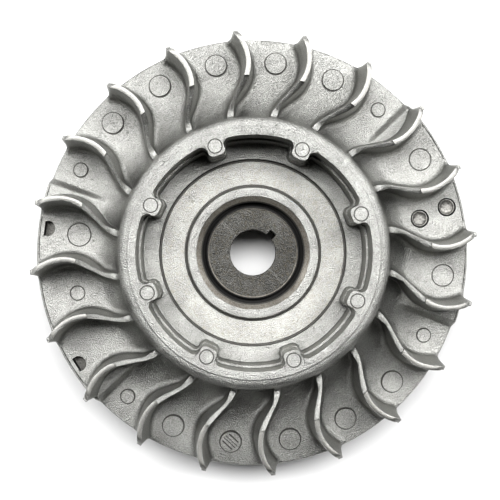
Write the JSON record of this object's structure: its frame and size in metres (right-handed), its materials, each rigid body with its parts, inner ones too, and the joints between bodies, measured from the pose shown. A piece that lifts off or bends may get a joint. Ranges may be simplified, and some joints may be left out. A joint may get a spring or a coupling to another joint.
{
  "type": "flywheel",
  "caption": "Die-cast fan flywheel for a small two-stroke engine, with curved blades, a lugged starter ring, a keyed steel hub and a magnet pack in the rim.",
  "frame": {"origin": "on the shaft axis at the back (engine side) face of the steel hub, the part's lowest face", "axes": "+Z along the shaft axis towards the fan side and the nut, +X towards the counterweight rivets, keyway at 44.5 degrees from +X towards +Y"},
  "size_m": [0.1305, 0.13, 0.033],
  "materials": {
    "cast_aluminium": "shot blasted casting, satin grey with machined bright tops",
    "hub_steel": "dark sintered steel with brown stains",
    "magnet_alloy": "rough cast magnet alloy",
    "plate_steel": "plain sheet steel",
    "rivet_steel": "plain steel, dull"
  },
  "bodies": {
    "root": {"fan_casting": "cast_aluminium", "steel_hub": "hub_steel", "magnet": "magnet_alloy", "leading_pole_shoe": "plate_steel", "trailing_pole_shoe": "plate_steel", "pole_shoe_rivets": "rivet_steel", "counterweight_plates": "plate_steel", "counterweight_rivets": "rivet_steel"}
  },
  "joints": []
}
